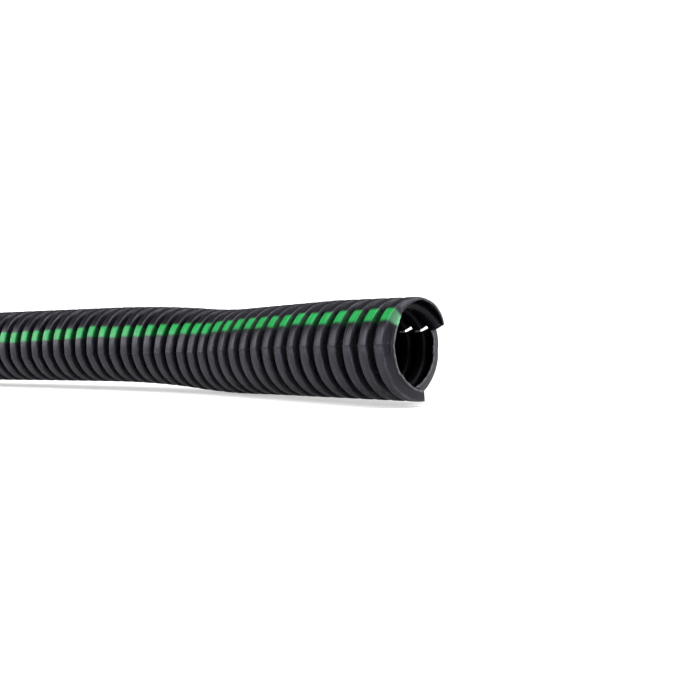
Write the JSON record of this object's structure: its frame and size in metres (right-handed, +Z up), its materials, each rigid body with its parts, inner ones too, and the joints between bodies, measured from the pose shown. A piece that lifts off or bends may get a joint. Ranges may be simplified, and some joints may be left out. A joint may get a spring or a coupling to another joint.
{
  "type": "corrugated conduit",
  "caption": "Length of split corrugated conduit: a thin ringed plastic tube with a slit along it, bent near a hand-cut end, for sleeving and protecting cables.",
  "frame": {"origin": "centre of the bore at the square-cut end", "axes": "+X along the straight run towards the bent end, -Y towards the side that the near end is bent to, +Z up from the floor that it lies on"},
  "size_m": [0.9946, 0.0521, 0.0233],
  "materials": {
    "conduit": "satin black moulded plastic with one green stripe along the tube"
  },
  "bodies": {
    "root": {"conduit": "conduit"}
  },
  "joints": []
}
